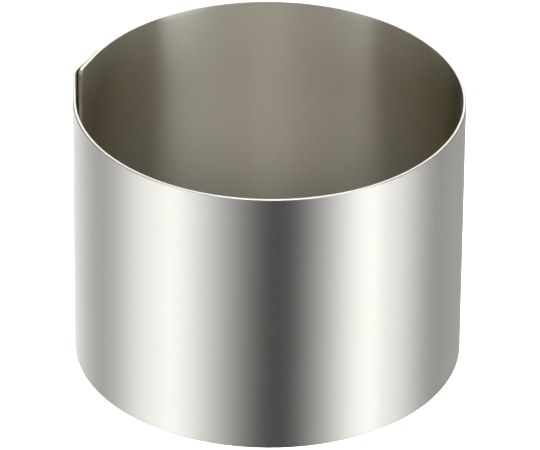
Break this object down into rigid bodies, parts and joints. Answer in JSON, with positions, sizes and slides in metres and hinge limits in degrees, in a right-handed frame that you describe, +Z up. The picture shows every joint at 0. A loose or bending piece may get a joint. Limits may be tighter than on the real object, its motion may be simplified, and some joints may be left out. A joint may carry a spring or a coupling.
{
  "type": "pastry ring",
  "caption": "Plain round pastry ring: an open band of thin stainless sheet, lapped at one side and spot-welded, used to shape or cut dough, mousse and tarts.",
  "frame": {"origin": "on the ring's axis, in the plane of the lower rim that it stands on", "axes": "+Z up along the ring's axis, -X towards the lapped seam, +Y away from the viewer of the picture"},
  "size_m": [0.0615, 0.0612, 0.045],
  "materials": {
    "band": "brushed stainless sheet, grain round the ring, cut rims deburred",
    "weld": "stainless as melted in the spot weld"
  },
  "bodies": {
    "root": {"ring_band": "band", "spot_weld_1": "weld", "spot_weld_2": "weld", "spot_weld_3": "weld", "spot_weld_4": "weld"}
  },
  "joints": []
}
